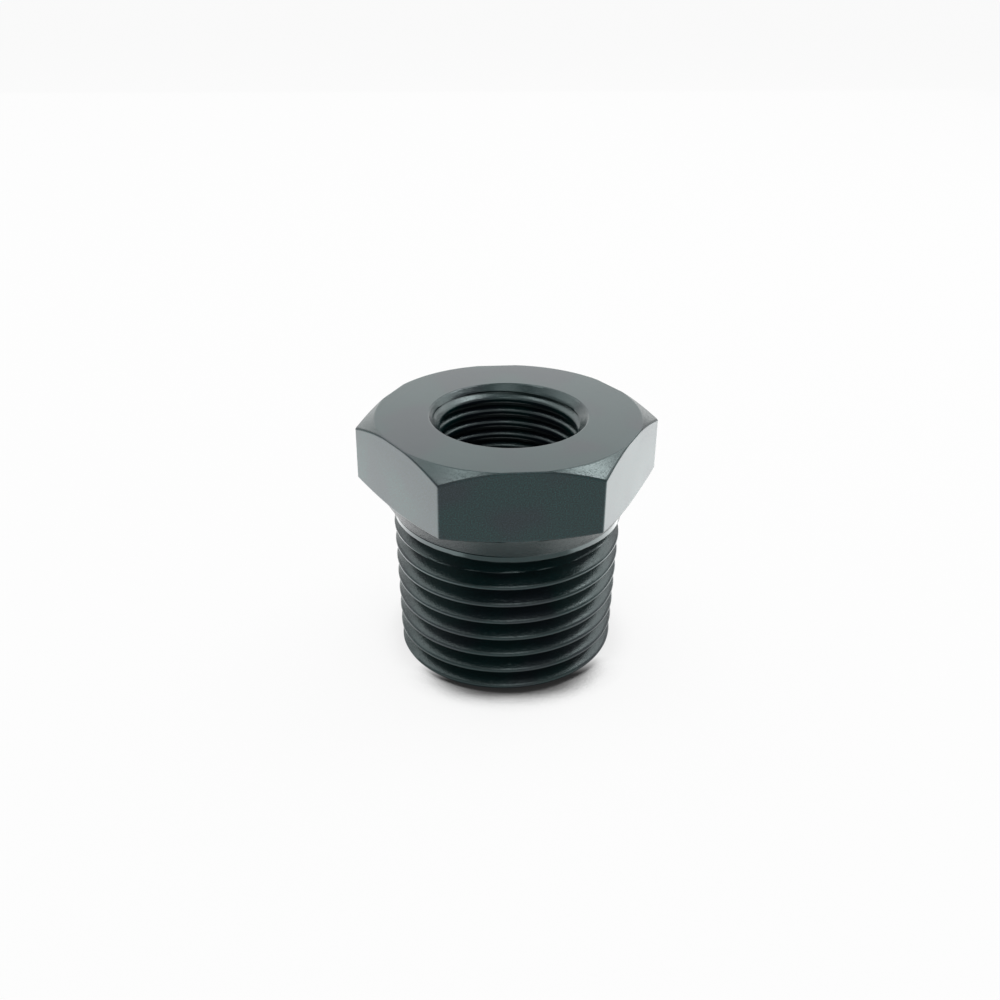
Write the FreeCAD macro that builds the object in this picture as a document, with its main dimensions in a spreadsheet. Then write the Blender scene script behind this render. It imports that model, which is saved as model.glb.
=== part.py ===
import FreeCAD, Part
import Sketcher
import math
import os

# A hexagon reducing bushing, turned and threaded from one length of hexagon bar.
# Its axis stands on Z, its thread end sits on Z = 0 and its wrench head is on top.
# Two wrench flats face +Y and -Y, so two corners of the head lie on the X axis.

os.makedirs("parts", exist_ok=True)
doc = FreeCAD.newDocument("threaded_adapter")

# Driving dimensions, in millimetres and degrees
DIMENSIONS = {
    "overall_height": 23.6,
    "hex_across_flats": 24.0,
    "head_height": 6.5,
    "bevel_rim": 0.07,
    "bevel_angle": 30.0,
    "underside_angle": 17.0,
    "neck_length": 2.25,
    "small_end_diameter": 20.34,
    "diameter_taper": 16.0,
    "end_chamfer": 0.45,
    "thread_pitch": 1.8143,
    "thread_angle": 60.0,
    "thread_crest_width": 0.14,
    "runout_below_neck": 1.12,
    "thread_end_azimuth": 160.0,
    "dwell_relief": 0.31,
    "dwell_turns": 0.4,
    "runout_turns": 0.3,
    "bore_diameter": 12.6,
    "countersink_diameter": 14.52,
    "countersink_angle": 90.0,
    "bore_end_chamfer": 0.6,
}

sheet = doc.addObject("Spreadsheet::Sheet", "dimensions")
for row, (alias, number) in enumerate(DIMENSIONS.items(), start=1):
    sheet.set("A%d" % row, alias)
    sheet.set("B%d" % row, "%g" % number)
    sheet.setAlias("B%d" % row, alias)
doc.recompute()


class Size:
    """A size together with the expression that gives it, so that sums of sizes keep both in step."""

    def __init__(self, number, text):
        self.number = number
        self.text = text

    def joined(self, sign, other, number):
        return Size(number, "(%s %s %s)" % (self.text, sign, written(other)))

    def __add__(self, other):
        return self.joined("+", other, self.number + plain(other))

    def __sub__(self, other):
        return self.joined("-", other, self.number - plain(other))

    def __mul__(self, other):
        return self.joined("*", other, self.number * plain(other))

    def __truediv__(self, other):
        return self.joined("/", other, self.number / plain(other))

    def __neg__(self):
        return self * -1


def plain(size):
    return size.number if isinstance(size, Size) else size


def written(size):
    return size.text if isinstance(size, Size) else "%g" % size


def named(alias):
    return Size(DIMENSIONS[alias], "dimensions." + alias)


def tangent(angle):
    return Size(math.tan(math.radians(angle.number)), "tan(%s)" % angle.text)


def drive(item, path, size):
    item.setExpression(path, size.text)


def origin_plane(body, role):
    for feature in body.Origin.OriginFeatures:
        if feature.Role == role:
            return feature
    raise ValueError("no origin plane " + role)


def flat_sketch(body, name, role):
    sketch = body.newObject("Sketcher::SketchObject", name)
    sketch.AttachmentSupport = [(origin_plane(body, role), "")]
    sketch.MapMode = "FlatFace"
    return sketch


def place_point(sketch, line, across, up):
    """Tie the start of a sketch line to the axis and to the end face."""
    for kind, size, axis in (("DistanceX", across, -2), ("DistanceY", up, -1)):
        if plain(size) == 0:
            sketch.addConstraint(Sketcher.Constraint("PointOnObject", line, 1, axis))
            continue
        index = sketch.addConstraint(Sketcher.Constraint(kind, -1, 1, line, 1, plain(size)))
        if isinstance(size, Size):
            drive(sketch, "Constraints[%d]" % index, size)


def profile(body, name, points):
    """A closed outline in the XZ plane; each point is a distance from the axis and a height."""
    sketch = flat_sketch(body, name, "XZ_Plane")
    spots = [FreeCAD.Vector(plain(across), plain(up), 0) for across, up in points]
    for start, end in zip(spots, spots[1:] + spots[:1]):
        sketch.addGeometry(Part.LineSegment(start, end), False)
    for line in range(len(points)):
        sketch.addConstraint(Sketcher.Constraint("Coincident", line, 2, (line + 1) % len(points), 1))
    for line, (across, up) in enumerate(points):
        place_point(sketch, line, across, up)
    return sketch


def turn_away(body, name, sketch):
    """Cut a profile away right round the axis."""
    cut = body.newObject("PartDesign::Groove", name)
    cut.Profile = sketch
    cut.ReferenceAxis = (sketch, ["V_Axis"])
    cut.Angle = 360.0
    sketch.Visibility = False
    return cut


height = named("overall_height")
flat = named("hex_across_flats") / 2
corner = named("hex_across_flats") / math.sqrt(3)
clear = corner + 2
small = named("small_end_diameter") / 2
slope = named("diameter_taper") * 2
pitch = named("thread_pitch")
spare = pitch * 2

adapter = doc.addObject("PartDesign::Body", "adapter_body")
adapter.Label = "adapter_body"

# Hexagon bar, with two pitches of spare length below the end face
hexagon = flat_sketch(adapter, "hexagon", "XY_Plane")
drive(hexagon, "AttachmentOffset.Base.z", -spare)
tips = [FreeCAD.Vector(corner.number * math.cos(math.radians(60 * i)),
                       corner.number * math.sin(math.radians(60 * i)), 0) for i in range(6)]
for start, end in zip(tips, tips[1:] + tips[:1]):
    hexagon.addGeometry(Part.LineSegment(start, end), False)
circle = hexagon.addGeometry(Part.Circle(FreeCAD.Vector(), FreeCAD.Vector(0, 0, 1), corner.number), True)
hexagon.addConstraint(Sketcher.Constraint("Coincident", circle, 3, -1, 1))
for side in range(6):
    hexagon.addConstraint(Sketcher.Constraint("Coincident", side, 2, (side + 1) % 6, 1))
    hexagon.addConstraint(Sketcher.Constraint("PointOnObject", side, 1, circle))
for side in range(1, 6):
    hexagon.addConstraint(Sketcher.Constraint("Equal", 0, side))
hexagon.addConstraint(Sketcher.Constraint("PointOnObject", 0, 1, -1))
radius = hexagon.addConstraint(Sketcher.Constraint("Radius", circle, corner.number))
drive(hexagon, "Constraints[%d]" % radius, corner)

bar = adapter.newObject("PartDesign::Pad", "hexagon_bar")
bar.Profile = hexagon
drive(bar, "Length", height + spare)
hexagon.Visibility = False

# Turned outside: the taper for the pipe thread, the cone of the neck,
# and the shallow cone under the head that runs out towards its corners
knee_z = height - named("head_height")
foot_z = knee_z - named("neck_length")
outside = profile(adapter, "outside_profile", [
    (clear, -spare - 1),
    (small - (spare + 1) / slope, -spare - 1),
    (small + foot_z / slope, foot_z),
    (flat, knee_z),
    (clear, knee_z + (clear - flat) * tangent(named("underside_angle"))),
])
turned = turn_away(adapter, "turned_outside", outside)

# Taper pipe thread: a V groove wound down the taper to one pitch past the end face.
# Above it the feed stands still: the tool eases back a little and dwells round the front,
# then it is drawn out and the groove fades away as the thread's run-out.
flank = tangent(named("thread_angle") / 2)
depth = (pitch - named("thread_crest_width")) / (flank * 2)
overcut = 0.4
runout_z = foot_z - named("runout_below_neck")
crest = small + runout_z / slope
end_turn = named("thread_end_azimuth") - 180
dwell_depth = depth - named("dwell_relief")


def thread_tool(name, reach, turn):
    """The V of the threading tool on the -X side, let in to this depth and turned about the axis."""
    half_mouth = (reach + overcut) * flank
    tool = profile(adapter, name, [
        (-(crest - reach), runout_z),
        (-(crest + overcut), runout_z - half_mouth),
        (-(crest + overcut), runout_z + half_mouth),
    ])
    tool.AttachmentOffset = FreeCAD.Placement(
        FreeCAD.Vector(), FreeCAD.Rotation(FreeCAD.Vector(0, 1, 0), turn.number))
    drive(tool, "AttachmentOffset.Rotation.Angle", turn)
    return tool


def wind_groove(name, tool, mode):
    groove = adapter.newObject("PartDesign::SubtractiveHelix", name)
    groove.Profile = tool
    groove.ReferenceAxis = (tool, ["V_Axis"])
    groove.Mode = mode
    groove.LeftHanded = False
    tool.Visibility = False
    return groove


thread = wind_groove("pipe_thread", thread_tool("thread_profile", depth, end_turn), "pitch-turns-angle")
thread.Reversed = True
drive(thread, "Pitch", pitch)
drive(thread, "Turns", runout_z / pitch + 1)
thread.setExpression("Angle", "-atan(1 / %s)" % slope.text)

dwell_tool = thread_tool("dwell_profile", dwell_depth, end_turn)
dwell = turn_away(adapter, "thread_dwell", dwell_tool)
drive(dwell, "Angle", named("dwell_turns") * 360)

leaving_tool = thread_tool("runout_profile", dwell_depth, end_turn + named("dwell_turns") * 360)
runout = wind_groove("thread_runout", leaving_tool, "height-turns-growth")
runout.Height = 0.05
drive(runout, "Turns", named("runout_turns"))
drive(runout, "Growth", (dwell_depth + 0.1) / named("runout_turns"))

# Thread end faced to length, with its chamfer at 45 degrees
chamfer = named("end_chamfer")
facing = profile(adapter, "facing_profile", [
    (0, 0),
    (small - chamfer, 0),
    (clear, chamfer + clear - small),
    (clear, -spare - 1),
    (0, -spare - 1),
])
faced = turn_away(adapter, "faced_end", facing)

# Bevel round the top of the head; its circle lies a rim's width outside the wrench flats
bevel_r = flat + named("bevel_rim")
bevel = profile(adapter, "bevel_profile", [
    (bevel_r, height),
    (clear, height),
    (clear, height - (clear - bevel_r) * tangent(named("bevel_angle"))),
])
bevelled = turn_away(adapter, "head_bevel", bevel)

# Threaded bore at its crest diameter, with its countersunk mouth and a broken edge at the far end
bore_r = named("bore_diameter") / 2
sink_r = named("countersink_diameter") / 2
edge = named("bore_end_chamfer")
bore = profile(adapter, "bore_profile", [
    (0, 0),
    (bore_r + edge, 0),
    (bore_r, edge),
    (bore_r, height - (sink_r - bore_r) / tangent(named("countersink_angle") / 2)),
    (sink_r, height),
    (0, height),
])
bored = turn_away(adapter, "tapped_bore", bore)

doc.recompute()


def check_built(objects):
    for item in objects:
        if any(word in item.State for word in ("Invalid", "Error")):
            raise ValueError(item.Name + " did not build: " + str(item.State))
        shape = getattr(item, "Shape", None)
        if shape is not None and not shape.isNull() and not shape.isValid():
            raise ValueError(item.Name + " has an invalid shape")


check_built(doc.Objects)
steps = [bar, turned, thread, dwell, runout, faced, bevelled, bored]
for before, after in zip(steps, steps[1:]):
    if after.Shape.Volume > before.Shape.Volume - 0.01:
        raise ValueError(after.Name + " removed nothing")

for node in (adapter,):
    if node.Shape.isNull() or not node.Shape.isValid() or len(node.Shape.Solids) != 1:
        raise ValueError(node.Label + " is not one sound solid")
    node.Shape.exportStep("parts/%s.step" % node.Label)
    print(node.Label, "volume", round(node.Shape.Volume, 1), "mm3")
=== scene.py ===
import math
import bmesh
import bpy
from mathutils import Matrix, Vector


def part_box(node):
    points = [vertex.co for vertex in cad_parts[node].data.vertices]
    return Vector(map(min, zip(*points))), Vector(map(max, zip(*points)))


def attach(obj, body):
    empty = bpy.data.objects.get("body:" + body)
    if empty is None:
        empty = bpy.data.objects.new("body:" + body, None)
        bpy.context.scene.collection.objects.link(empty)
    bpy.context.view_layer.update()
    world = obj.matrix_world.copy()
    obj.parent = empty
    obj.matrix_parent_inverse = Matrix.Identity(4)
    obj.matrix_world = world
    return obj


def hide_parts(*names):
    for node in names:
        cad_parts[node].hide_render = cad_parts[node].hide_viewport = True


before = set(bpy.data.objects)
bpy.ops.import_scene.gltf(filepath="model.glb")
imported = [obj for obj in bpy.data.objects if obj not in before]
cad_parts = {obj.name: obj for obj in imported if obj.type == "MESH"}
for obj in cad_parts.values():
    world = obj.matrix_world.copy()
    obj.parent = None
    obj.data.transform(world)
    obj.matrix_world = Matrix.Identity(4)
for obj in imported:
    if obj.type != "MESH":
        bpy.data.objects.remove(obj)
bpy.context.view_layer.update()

# Sizes of the adapter, in metres, with the outer sizes taken from the frame

MM = 0.001
_, top_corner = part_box("adapter_body")
HEIGHT = top_corner.z
FLAT = top_corner.y
CORNER_ROUND = 0.2 * MM
EDGE_BREAK = 0.08 * MM

KNEE_Z = HEIGHT - 6.5 * MM
NECK_LENGTH = 2.25 * MM
FOOT_Z = KNEE_Z - NECK_LENGTH
BEVEL_R = FLAT + 0.07 * MM
BEVEL_SLOPE = math.tan(math.radians(30))
UNDERSIDE_SLOPE = math.tan(math.radians(17))

# The taper pipe thread, 0.06 mm larger in radius than the solid's, as the photo's outline reads.
# Its turns end where the tool stops climbing, and its run-out follows at that height
TAPER = 1 / 32
SMALL_R = 10.23 * MM
FOOT_R = SMALL_R + FOOT_Z * TAPER
NECK_SLOPE = NECK_LENGTH / (FLAT - FOOT_R)
COLLAR_Z = FOOT_Z - 0.04 * MM
PIPE_PITCH = 1.8143 * MM
PIPE_DEPTH = 1.33 * MM
END_CHAMFER = 0.45 * MM
RUNOUT_Z = FOOT_Z - 1.12 * MM
THREAD_END_AZIMUTH = 160
LAST_TURN = 8 + THREAD_END_AZIMUTH / 360
DWELL_DEPTH = 1.036 * MM
DWELL_TURNS = 0.4
RUNOUT_TURNS = 0.3

# The tool mark round the foot of the neck, whose ends are azimuths in degrees
NOTCH_DEPTH = 0.06 * MM
NOTCH_LIP = 0.02 * MM
NOTCH_START, NOTCH_END, NOTCH_FADE = 30, 278, 20

# The bore with its fine thread, whose grooves wind down from one near the top
BORE_R = 6.22 * MM
BORE_PITCH = 1.25 * MM
BORE_DEPTH = 0.62 * MM
BORE_TURNS = 18.735
TOP_GROOVE_Z = HEIGHT - 1.37 * MM
SINK_DEPTH = 7.26 * MM - BORE_R
SINK_BREAK = 0.04 * MM
BORE_END_CHAMFER = 0.6 * MM

# Both threads are a 60 degree V with a narrow flat at its root
ROOT_WIDTH = 0.08 * MM
FLANK_SLOPE = math.tan(math.radians(30))

# The grid that both threads and the head share

COLUMNS = 216
CORNER_CROWDING = 0.8
WELD = 0.002 * MM


# Node trees written as sums

class Wire:
    """A socket of a node tree, for use in sums: each operator adds its Math node."""

    def __init__(self, board, socket):
        self.board = board
        self.socket = socket

    def math(self, operation, *others):
        return self.board.add("ShaderNodeMath", {"operation": operation}, self, *others)

    def __add__(self, other):
        return self.math("ADD", other)

    def __sub__(self, other):
        return self.math("SUBTRACT", other)

    def __mul__(self, other):
        return self.math("MULTIPLY", other)

    def __truediv__(self, other):
        return self.math("DIVIDE", other)

    def __rsub__(self, other):
        return self.board.add("ShaderNodeMath", {"operation": "SUBTRACT"}, other, self)

    def __rtruediv__(self, other):
        return self.board.add("ShaderNodeMath", {"operation": "DIVIDE"}, other, self)

    __radd__ = __add__
    __rmul__ = __mul__

    def __gt__(self, other):
        return self.math("GREATER_THAN", other)

    def limited(self, low=0, high=1):
        return self.math("MAXIMUM", low).math("MINIMUM", high)

    def ramp(self, start, end):
        """0 before start and 1 after end, with a soft passage between them."""
        settings = {"interpolation_type": "SMOOTHSTEP"}
        return self.board.add("ShaderNodeMapRange", settings, self, start, end, 0, 1)


class Board:
    """A node tree under construction."""

    def __init__(self, tree):
        self.tree = tree

    def add(self, kind, settings=None, *values, output=0, **named):
        """One node: its settings first, then the values or wires of its sockets."""
        node = self.tree.nodes.new(kind)
        for name, setting in (settings or {}).items():
            setattr(node, name, setting)
        sockets = [socket for socket in node.inputs if socket.enabled]
        for socket, value in zip(sockets, values):
            self.feed(socket, value)
        for name, value in named.items():
            self.feed(node.inputs[name.replace("_", " ")], value)
        return Wire(self, node.outputs[output])

    def feed(self, socket, value):
        if isinstance(value, Wire):
            self.tree.links.new(value.socket, socket)
        elif value is not None:
            socket.default_value = value

    def split(self, vector):
        node = self.tree.nodes.new("ShaderNodeSeparateXYZ")
        self.feed(node.inputs[0], vector)
        return [Wire(self, socket) for socket in node.outputs]


def float_inputs(tree, names):
    for name in names:
        tree.interface.new_socket(name, in_out="INPUT", socket_type="NodeSocketFloat")


def thread_band_tree():
    """A wall of rotation with a V thread cut in it, as a grid whose rows follow the thread."""
    tree = bpy.data.node_groups.new("thread band", "GeometryNodeTree")
    tree.is_modifier = True
    for name in ("Columns", "Rows"):
        tree.interface.new_socket(name, in_out="INPUT", socket_type="NodeSocketInt")
    float_inputs(tree, (
        "Rows per turn", "Crowding", "Low", "High", "Wall radius", "Wall taper", "Side", "Pitch",
        "Depth", "Root width", "Flank slope", "Groove height", "Last turn", "Runout height",
        "Dwell turns", "Dwell depth", "Runout turns", "Rounding", "Low chamfer", "High chamfer",
        "Chamfer slope"))
    tree.interface.new_socket("Finish", in_out="INPUT", socket_type="NodeSocketMaterial")
    tree.interface.new_socket("Band", in_out="OUTPUT", socket_type="NodeSocketGeometry")
    board = Board(tree)
    entry = tree.nodes.new("NodeGroupInput")
    size = {socket.name: Wire(board, socket) for socket in entry.outputs if socket.name}

    grid = board.add("GeometryNodeMeshGrid", {}, 1, 1, size["Columns"] + 1, size["Rows"])
    across, along, _ = board.split(board.add("GeometryNodeInputPosition"))
    even = (across + 0.5) * math.tau
    azimuth = even - (even * 6).math("SINE") * (CORNER_CROWDING / 6)
    winding = azimuth / math.tau

    # Rows crowd at the crests and roots; every groove at this azimuth lies a pitch apart
    step = (along + 0.5) * (size["Rows"] - 1) / size["Rows per turn"]
    whole = step.math("FLOOR")
    part = step - whole
    crowded = part - (part * (2 * math.tau)).math("SINE") * size["Crowding"] / (2 * math.tau)
    first_crest = size["Groove height"] - size["Pitch"] * 0.5
    height = first_crest + size["Pitch"] * (whole + crowded + winding)
    height = height.math("MAXIMUM", size["Low"]).math("MINIMUM", size["High"])

    # Depth of the thread's own groove, which ends with its last turn
    turns = (height - size["Groove height"]) / size["Pitch"] - winding
    nearest = turns.math("ROUND")
    reach = (turns - nearest).math("ABSOLUTE") * size["Pitch"] - size["Root width"] * 0.5
    groove = size["Depth"] - reach.math("MAXIMUM", 0) / size["Flank slope"]
    groove = groove - (nearest + winding > size["Last turn"] + 0.001)

    # Depth of the run-out, where the tool dwells at one height and then is drawn out
    drawn = (winding - size["Last turn"]).math("FRACT") - size["Dwell turns"]
    drawn = drawn.math("MAXIMUM", 0) / size["Runout turns"]
    reach = (height - size["Runout height"]).math("ABSOLUTE") - size["Root width"] * 0.5
    runout = size["Dwell depth"] * (1 - drawn * 1.1) - reach.math("MAXIMUM", 0) / size["Flank slope"]

    groove = groove.math("SMOOTH_MAX", 0, size["Rounding"])
    runout = runout.math("SMOOTH_MAX", 0, size["Rounding"])
    depth = groove.math("MAXIMUM", runout)
    depth = depth.math("MAXIMUM", (size["Low chamfer"] - (height - size["Low"])) * size["Chamfer slope"])
    depth = depth.math("MAXIMUM", size["High chamfer"] - (size["High"] - height))
    radius = size["Wall radius"] + height * size["Wall taper"] - depth * size["Side"]

    place = board.add("ShaderNodeCombineXYZ", {}, azimuth.math("COSINE") * radius,
                      azimuth.math("SINE") * radius, height)
    moved = board.add("GeometryNodeSetPosition", {}, grid, Position=place)
    welded = board.add("GeometryNodeMergeByDistance", {}, moved, Distance=WELD)
    real = board.add("GeometryNodeRealizeInstances", {}, welded)
    finished = board.add("GeometryNodeSetMaterial", {}, real, Material=size["Finish"])
    board.feed(tree.nodes.new("NodeGroupOutput").inputs[0], finished)
    return tree


def thread_band(tree, name, sizes):
    """The plain mesh of one thread, made by the tree with these sizes."""
    band = bpy.data.objects.new(name, bpy.data.meshes.new(name))
    bpy.context.scene.collection.objects.link(band)
    maker = band.modifiers.new(name, "NODES")
    maker.node_group = tree
    turns = (sizes["High"] - sizes["Groove height"]) / sizes["Pitch"] + 1
    values = dict(sizes, Columns=COLUMNS, Rows=int(turns * sizes["Rows per turn"]))
    for socket in tree.interface.items_tree:
        if socket.in_out == "INPUT":
            maker[socket.identifier] = values[socket.name]
    bpy.context.view_layer.update()
    shape = bpy.data.meshes.new_from_object(band.evaluated_get(bpy.context.evaluated_depsgraph_get()))
    band.modifiers.remove(maker)
    bpy.data.objects.remove(band)
    return shape


# The head: rings of points from the countersunk mouth out, down the flats and in to the collar

def column_azimuths():
    for column in range(COLUMNS):
        even = math.tau * column / COLUMNS
        yield even - math.sin(6 * even) * CORNER_CROWDING / 6


def hexagon_radius(azimuth):
    """Distance from the axis to the wrench flats, whose corners are slightly rounded."""
    off_corner = abs((azimuth + math.pi / 6) % (math.pi / 3) - math.pi / 6)
    middle = (FLAT - CORNER_ROUND) / math.cos(math.pi / 6)
    tangent = math.atan2(CORNER_ROUND / 2, middle + CORNER_ROUND * math.cos(math.pi / 6))
    if off_corner > tangent:
        return FLAT / math.cos(math.pi / 6 - off_corner)
    sideways = middle * math.sin(off_corner)
    return middle * math.cos(off_corner) + math.sqrt(CORNER_ROUND ** 2 - sideways ** 2)


def bevel_height(radius):
    return HEIGHT - max(0, radius - BEVEL_R) * BEVEL_SLOPE


def underside_height(radius):
    if radius > FLAT:
        return KNEE_Z + (radius - FLAT) * UNDERSIDE_SLOPE
    return KNEE_Z - (FLAT - radius) * NECK_SLOPE


def between(start, end, share):
    return start + (end - start) * share


def foot_notch(azimuth):
    """Depth of the tool mark round the foot of the neck, which is missing at the right."""
    turn = math.degrees(azimuth)
    share = min((turn - NOTCH_START) / NOTCH_FADE, (NOTCH_END - turn) / NOTCH_FADE)
    return NOTCH_DEPTH * min(max(share, 0), 1)


def head_section(azimuth):
    """Radius and height of every ring of the head at one azimuth."""
    side = hexagon_radius(azimuth)
    inner = side - EDGE_BREAK
    rim = BORE_R + SINK_DEPTH
    crown = min(BEVEL_R, inner)
    points = [(rim - SINK_BREAK, HEIGHT - SINK_BREAK), (rim + SINK_BREAK, HEIGHT),
              (rim + 2 * SINK_BREAK, HEIGHT)]
    points += [(between(rim, crown, share), HEIGHT) for share in (0.3, 0.6, 0.9)]
    points += [(crown - EDGE_BREAK, HEIGHT), (crown, HEIGHT)]
    points += [(between(crown, inner, share), bevel_height(between(crown, inner, share)))
               for share in (0.1, 0.5, 0.9, 1)]
    top = bevel_height(side) - EDGE_BREAK
    bottom = underside_height(side) + EDGE_BREAK
    points += [(side, top), (side, top - EDGE_BREAK)]
    points += [(side, between(top, bottom, share)) for share in (0.2, 0.4, 0.6, 0.8)]
    points += [(side, bottom + EDGE_BREAK), (side, bottom)]
    knee = min(FLAT, inner)
    points += [(radius, underside_height(radius))
               for radius in (inner, between(inner, knee, 0.1), between(inner, knee, 0.9), knee)]
    foot = FOOT_R + NOTCH_LIP
    points += [(between(knee, foot, share), underside_height(between(knee, foot, share)))
               for share in (0.05, 0.35, 0.65, 0.95, 1)]
    points += [(FOOT_R - foot_notch(azimuth), FOOT_Z), (SMALL_R + COLLAR_Z * TAPER, COLLAR_Z)]
    return points


def head_rings(mesh):
    """The head as a grid of faces, one strip for each step of its section."""
    columns = []
    for azimuth in column_azimuths():
        across, aside = math.cos(azimuth), math.sin(azimuth)
        columns.append([mesh.verts.new((radius * across, radius * aside, height))
                        for radius, height in head_section(azimuth)])
    for here, there in zip(columns, columns[1:] + columns[:1]):
        for ring in range(len(here) - 1):
            mesh.faces.new((here[ring], here[ring + 1], there[ring + 1], there[ring]))


def end_face(mesh):
    """The flat ring at the thread end, between the outer thread and the bore."""
    rim = {vert for edge in mesh.edges if edge.is_boundary for vert in edge.verts if vert.co.z < WELD}
    middle = (SMALL_R + BORE_R) / 2
    outer, inner = [], []
    for vert in rim:
        (outer if vert.co.xy.length > middle else inner).append(vert)
    for loop in (outer, inner):
        loop.sort(key=lambda vert: math.atan2(vert.co.y, vert.co.x))
    for i in range(len(outer)):
        mesh.faces.new((outer[i - 1], outer[i], inner[i], inner[i - 1]))


def pipe_thread_bands(tree, finish):
    """The pipe thread, whose upper end has closer rows, where the run-out's level edges cross the helix."""
    split = RUNOUT_Z - 1.3 * MM
    sizes = {
        "Rows per turn": 18.0, "Crowding": 0.6, "Low": 0.0, "High": split,
        "Wall radius": SMALL_R, "Wall taper": TAPER, "Side": 1.0, "Pitch": PIPE_PITCH,
        "Depth": PIPE_DEPTH, "Root width": ROOT_WIDTH, "Flank slope": FLANK_SLOPE,
        "Groove height": RUNOUT_Z - LAST_TURN * PIPE_PITCH, "Last turn": LAST_TURN,
        "Runout height": RUNOUT_Z, "Dwell turns": DWELL_TURNS, "Dwell depth": DWELL_DEPTH,
        "Runout turns": RUNOUT_TURNS, "Rounding": 0.01 * MM, "Low chamfer": END_CHAMFER,
        "High chamfer": 0.0, "Chamfer slope": 0.5, "Finish": finish}
    upper = {"Rows per turn": 40.0, "Crowding": 0.2, "Low": split, "High": COLLAR_Z, "Low chamfer": 0.0}
    return [thread_band(tree, "pipe thread", sizes),
            thread_band(tree, "thread runout", dict(sizes, **upper))]


def bore_thread_band(tree, finish):
    """The bore's wall, whose thread goes right through to the countersink and the chamfer."""
    no_runout = {"Last turn": 100.0, "Runout height": -1.0, "Runout turns": 1.0,
                 "Dwell turns": 0.0, "Dwell depth": 0.0}
    return thread_band(tree, "bore thread", {
        "Rows per turn": 12.0, "Crowding": 0.4, "Low": 0.0, "High": HEIGHT - SINK_BREAK,
        "Wall radius": BORE_R, "Wall taper": 0.0, "Side": -1.0, "Pitch": BORE_PITCH,
        "Depth": BORE_DEPTH, "Root width": ROOT_WIDTH, "Flank slope": FLANK_SLOPE,
        "Groove height": TOP_GROOVE_Z - BORE_TURNS * BORE_PITCH, **no_runout, "Rounding": 0.02 * MM,
        "Low chamfer": BORE_END_CHAMFER, "High chamfer": SINK_DEPTH - SINK_BREAK,
        "Chamfer slope": 1.0, "Finish": finish})


def adapter_mesh(name, finish):
    """Both threads, the head and the end face, welded to one closed mesh."""
    tree = thread_band_tree()
    mesh = bmesh.new()
    for band in pipe_thread_bands(tree, finish) + [bore_thread_band(tree, finish)]:
        mesh.from_mesh(band)
        bpy.data.meshes.remove(band)
    head_rings(mesh)
    bmesh.ops.remove_doubles(mesh, verts=mesh.verts, dist=WELD)
    end_face(mesh)
    bmesh.ops.dissolve_degenerate(mesh, edges=mesh.edges, dist=WELD / 4)
    bmesh.ops.recalc_face_normals(mesh, faces=mesh.faces)
    for face in mesh.faces:
        face.smooth = True
    for edge in mesh.edges:
        on_end_face = all(vert.co.z < WELD for vert in edge.verts)
        sharp_angle = math.radians(30 if on_end_face else 50)
        edge.smooth = edge.calc_face_angle(0) < sharp_angle
    shape = bpy.data.meshes.new(name)
    mesh.to_mesh(shape)
    mesh.free()
    shape.materials.clear()
    shape.materials.append(finish)
    return shape


# Finishes

def new_material(name):
    material = bpy.data.materials.new(name)
    material.use_nodes = True
    material.node_tree.nodes.clear()
    board = Board(material.node_tree)
    output = material.node_tree.nodes.new("ShaderNodeOutputMaterial")
    return material, board, output


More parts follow.
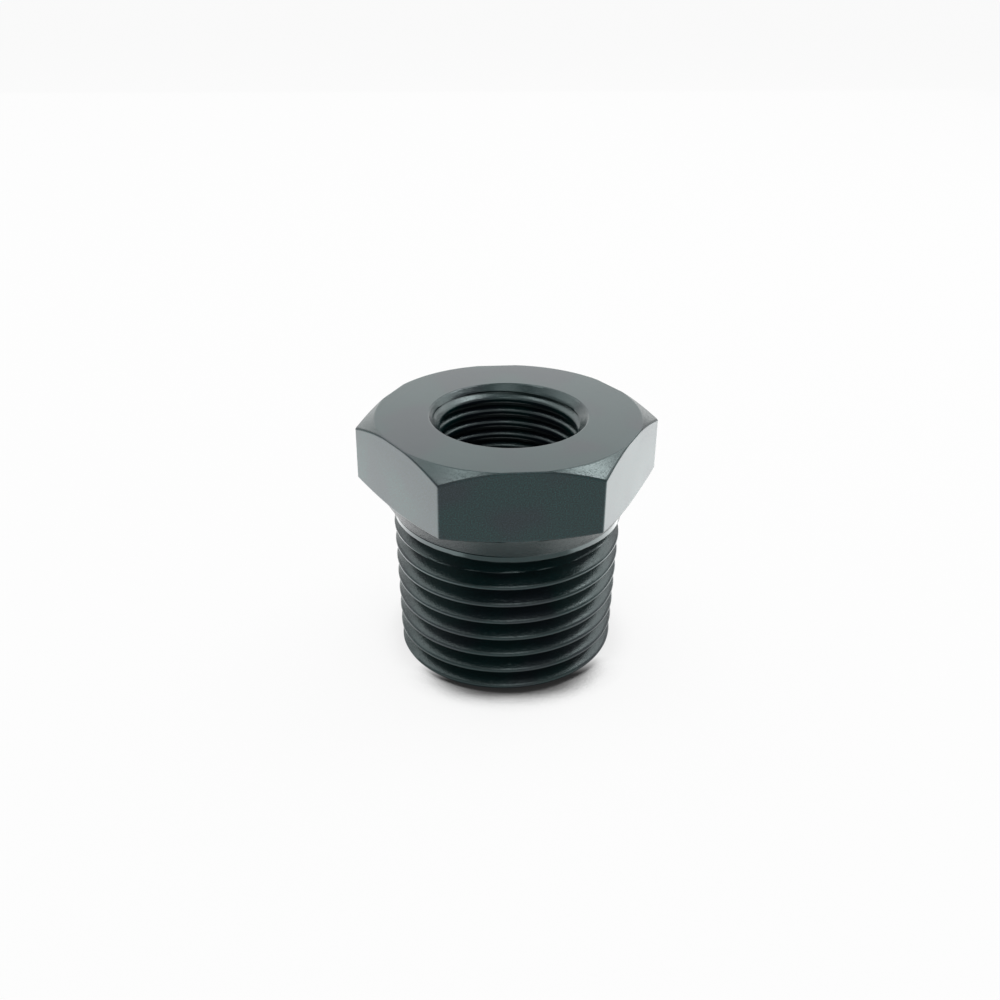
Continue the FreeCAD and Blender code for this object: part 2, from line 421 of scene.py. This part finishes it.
def black_anodised():
    """Satin black anodised aluminium: blasted grain on the turned faces, a dye that clouds a little, and a
    darker dye on the turned faces that paints shade into the thread grooves.
    """
    material, board, output = new_material("black anodised")
    place = board.add("ShaderNodeTexCoord", output="Object")
    aside, deep, height = board.split(place)
    grain = board.add("ShaderNodeTexNoise", {}, Vector=place, Scale=9000.0, Detail=1.0, Roughness=0.6)
    speckle = board.add("ShaderNodeTexNoise", {}, Vector=place, Scale=8000.0, Detail=0.0)
    cloud = board.add("ShaderNodeTexNoise", {}, Vector=place, Scale=170.0, Detail=1.0)

    # How far a point lies out towards the nearest wrench flat
    spread = [(aside * math.cos(turn) + deep * math.sin(turn)).math("ABSOLUTE")
              for turn in (math.pi / 2, math.pi / 6, -math.pi / 6)]
    reach = spread[0].math("MAXIMUM", spread[1]).math("MAXIMUM", spread[2])
    on_flats = reach.ramp(FLAT - 0.06 * MM, FLAT - 0.02 * MM)
    on_top = height.ramp(HEIGHT - 0.03 * MM, HEIGHT - 0.01 * MM)
    girth = (aside * aside + deep * deep).math("SQRT") - height * TAPER
    under_neck = 1 - height.ramp(FOOT_Z, FOOT_Z + 0.02 * MM)
    on_crest = girth.ramp(SMALL_R - 0.06 * MM, SMALL_R - 0.02 * MM) * under_neck
    turned = (1 - on_flats) * (1 - on_top) * (1 - on_crest)

    dye = board.add("ShaderNodeMix", {"data_type": "RGBA"}, cloud.ramp(0.45, 0.62), output=2)
    dye.socket.node.inputs[6].default_value = (0.001, 0.0165, 0.0175, 1)
    dye.socket.node.inputs[7].default_value = (0.006, 0.0090, 0.0150, 1)
    # Grain varies the dye at random, more strongly on the flats. The turned faces, the thread's flanks and
    # roots among them, are 35% darker, which is painted shade in the grooves, while the crests keep the
    # full dye
    grain_and_painted_shade = (1 + (grain - 0.5) * (2 + on_flats * 6)).limited(0.1, 3) * (1 - turned * 0.35)
    shade = board.add("ShaderNodeVectorMath", {"operation": "SCALE"}, dye, Scale=grain_and_painted_shade)
    roughness = 0.22 + on_flats * 0.14 - on_crest * 0.08
    roughness = roughness + (cloud - 0.5) * 0.06 + (grain - 0.5) * 0.10
    pits = speckle.ramp(0.55, 0.85)
    tilt = board.add("ShaderNodeBump", {}, 0.06 + turned * 0.44, 0.02 * MM, Height=grain + pits * 0.8)
    skin = board.add("ShaderNodeBsdfPrincipled", {}, IOR=1.55)
    node = skin.socket.node
    node.inputs["Specular Tint"].default_value = (0.82, 1, 1, 1)
    board.feed(node.inputs["Base Color"], shade)
    board.feed(node.inputs["Roughness"], roughness)
    board.feed(node.inputs["Normal"], tilt)
    board.feed(output.inputs["Surface"], skin)
    return material


# Studio: pale floor, soft lamps and the camera at the photo's angle

def picture_rays(board):
    """Two masks: the camera's own rays, and those together with what metal and glass mirror or pass on."""
    rays = board.add("ShaderNodeLightPath").socket.node.outputs
    camera, glossy, through = [
        Wire(board, rays[name]) for name in ("Is Camera Ray", "Is Glossy Ray", "Is Transmission Ray")]
    return camera, (camera + glossy + through).limited()


def open_air(board, distance):
    """1 where nothing stands within this distance, and about a half at the foot of a wall."""
    return board.add("ShaderNodeAmbientOcclusion", {"samples": 8}, output="AO", Distance=distance)


def painted_contact_shadow(board):
    """How dark the painted shadow lies at the adapter's foot: a tight line, and a soft edge beyond it, both
    from an occlusion mask.
    """
    near_air = open_air(board, 5.5 * MM)
    # Most lamps stand behind, but this shade is painted, not cast: both parts are laid only in front, on
    # the floor's side towards the camera
    _, deep, _ = board.split(board.add("ShaderNodeTexCoord", output="Object"))
    front = -1 * deep
    soft = (1 - near_air.ramp(0.57, 0.80)) * (0.1 + 0.9 * front.ramp(6 * MM, 10.5 * MM))
    tight = (1 - near_air.ramp(0.52, 0.64)) * front.ramp(4.5 * MM, 8 * MM)
    return 0.98 * soft.math("MAXIMUM", tight)


def grey_diffuse(board, grey):
    diffuse = board.add("ShaderNodeBsdfDiffuse")
    diffuse.socket.node.inputs["Color"].default_value = (grey, grey, grey, 1)
    return diffuse


def pale_paper():
    """Lit paper whose plain stretches show as white, with painted shade round the object's foot: a faint
    wide one and a darker contact shadow.
    """
    material, board, output = new_material("pale paper")
    _, seen = picture_rays(board)
    # Within 14 mm of the adapter the white share falls from 0.94 towards 0.86: a faint painted shade,
    # through which more of the lit grey shows, with the lamps' real shadow in it
    whiteness = seen * (0.86 + 0.08 * open_air(board, 14 * MM).ramp(0.4, 1))
    white = board.add("ShaderNodeEmission")
    open_floor = board.add("ShaderNodeMixShader", {}, whiteness, grey_diffuse(board, 0.62), white)
    lightness = 1 - painted_contact_shadow(board)
    # Under the painted contact shadow the floor turns into a dark 0.04 grey diffuse
    paper = board.add("ShaderNodeMixShader", {}, lightness, grey_diffuse(board, 0.04), open_floor)
    board.feed(output.inputs["Surface"], paper)
    return material


def floor_sweep(finish):
    """A floor that runs up into a backdrop far behind."""
    near, far, wall, wide = 4.0, 0.9, 0.8, 4.0
    bend, bend_steps = 0.3, 12
    level = -0.02 * MM
    section = [(-near, level), (far - bend, level)]
    for step in range(1, bend_steps + 1):
        angle = math.pi / 2 * step / bend_steps
        section.append((far - bend + bend * math.sin(angle), level + bend - bend * math.cos(angle)))
    section.append((far, wall))
    verts = [(side, y, z) for y, z in section for side in (-wide, wide)]
    faces = [(2 * i, 2 * i + 1, 2 * i + 3, 2 * i + 2) for i in range(len(section) - 1)]
    shape = bpy.data.meshes.new("floor")
    shape.from_pydata(verts, [], faces)
    shape.polygons.foreach_set("use_smooth", [True] * len(shape.polygons))
    shape.materials.append(finish)
    floor = bpy.data.objects.new("floor", shape)
    bpy.context.scene.collection.objects.link(floor)


SOFT_BOX_DISTANCE = 0.35


def area_lamp(name, place, facing, width, height, radiance):
    """A lamp that shows only in its light and in what mirrors it."""
    light = bpy.data.lights.new(name, "AREA")
    light.shape = "RECTANGLE"
    light.size = width
    light.size_y = height
    light.energy = radiance * math.pi * width * height
    lamp = bpy.data.objects.new(name, light)
    lamp.location = place
    lamp.rotation_euler = facing.to_track_quat("-Z", "Y").to_euler()
    lamp.visible_camera = False
    bpy.context.scene.collection.objects.link(lamp)


def direction(azimuth, elevation):
    """Away from the adapter; azimuth 0 is the camera's side and 90 is the right."""
    turn, rise = math.radians(azimuth), math.radians(elevation)
    return Vector((math.sin(turn) * math.cos(rise), -math.cos(turn) * math.cos(rise), math.sin(rise)))


def soft_box(name, azimuth, elevation, width, height, radiance):
    """A box of light that faces the adapter's middle from this direction."""
    away = direction(azimuth, elevation)
    area_lamp(name, Vector((0, 0, HEIGHT / 2)) + away * SOFT_BOX_DISTANCE, -away, width, height, radiance)


def table_panel(name, across, back, width, radiance):
    """A light panel lying on the table beside the adapter, which its flats and crests mirror."""
    area_lamp(name, Vector((across, back, 0.2 * MM)), Vector((0, 0, 1)), width, 80 * MM, radiance)


def studio_air():
    """An even world, white where the camera or a reflection looks past the floor."""
    world = bpy.data.worlds.new("studio")
    world.use_nodes = True
    world.node_tree.nodes.clear()
    board = Board(world.node_tree)
    camera, seen = picture_rays(board)
    _, _, rise = board.split(board.add("ShaderNodeTexCoord"))
    ceiling = rise.ramp(0.3, 0.8)
    seen_air = camera + (1 - camera) * (1 - ceiling * 0.3)
    air = board.add("ShaderNodeBackground", {}, Strength=0.45 * (1 - seen) + seen * seen_air)
    board.feed(world.node_tree.nodes.new("ShaderNodeOutputWorld").inputs["Surface"], air)
    bpy.context.scene.world = world


CAMERA_ELEVATION = 28.084
CAMERA_AZIMUTH = -5.511
CAMERA_ROLL = 0.63
CAMERA_DISTANCE = 105.021 * MM
CAMERA_LENS = 40.115
AIM_HEIGHT = HEIGHT - 8.882 * MM
AIM_ASIDE = -0.686 * MM


def photo_camera():
    rise, roll = math.radians(CAMERA_ELEVATION), math.radians(CAMERA_ROLL)
    turn = Matrix.Rotation(math.radians(CAMERA_AZIMUTH), 3, "Z")
    forward = turn @ Vector((0, math.cos(rise), -math.sin(rise)))
    right = turn @ Vector((1, 0, 0))
    up = right.cross(forward)
    aim = Vector((0, 0, AIM_HEIGHT)) + right * AIM_ASIDE
    right, up = right * math.cos(roll) + up * math.sin(roll), up * math.cos(roll) - right * math.sin(roll)
    lens = bpy.data.cameras.new("camera")
    lens.sensor_width = 36
    lens.lens = CAMERA_LENS
    lens.clip_start = 1 * MM
    camera = bpy.data.objects.new("camera", lens)
    pose = Matrix((right, up, -forward)).transposed().to_4x4()
    pose.translation = aim - forward * CAMERA_DISTANCE
    camera.matrix_world = pose
    bpy.context.scene.collection.objects.link(camera)
    bpy.context.scene.camera = camera


# The adapter, dressed

anodised = black_anodised()
adapter = bpy.data.objects.new("threaded_adapter", adapter_mesh("threaded_adapter", anodised))
bpy.context.scene.collection.objects.link(adapter)
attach(adapter, "root")
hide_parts("adapter_body")

floor_sweep(pale_paper())
table_panel("left table panel", -0.064, 0.010, 0.086, 2.0)
table_panel("right table panel", 0.0655, 0.010, 0.083, 2.35)
soft_box("left softbox", -130, 53, 0.30, 0.30, 1.7)
soft_box("left key", -115, 74, 0.10, 0.08, 4)
soft_box("right softbox", 123, 48, 0.28, 0.30, 2.0)
soft_box("right key", 114, 58, 0.10, 0.10, 7)
soft_box("overhead softbox", 180, 88, 0.16, 0.16, 0.25)
soft_box("front softbox", 0, 62, 0.14, 0.12, 2.2)
soft_box("back strip", 180, 16, 0.45, 0.22, 0.75)
studio_air()
photo_camera()
bpy.context.scene.view_settings.view_transform = "Standard"
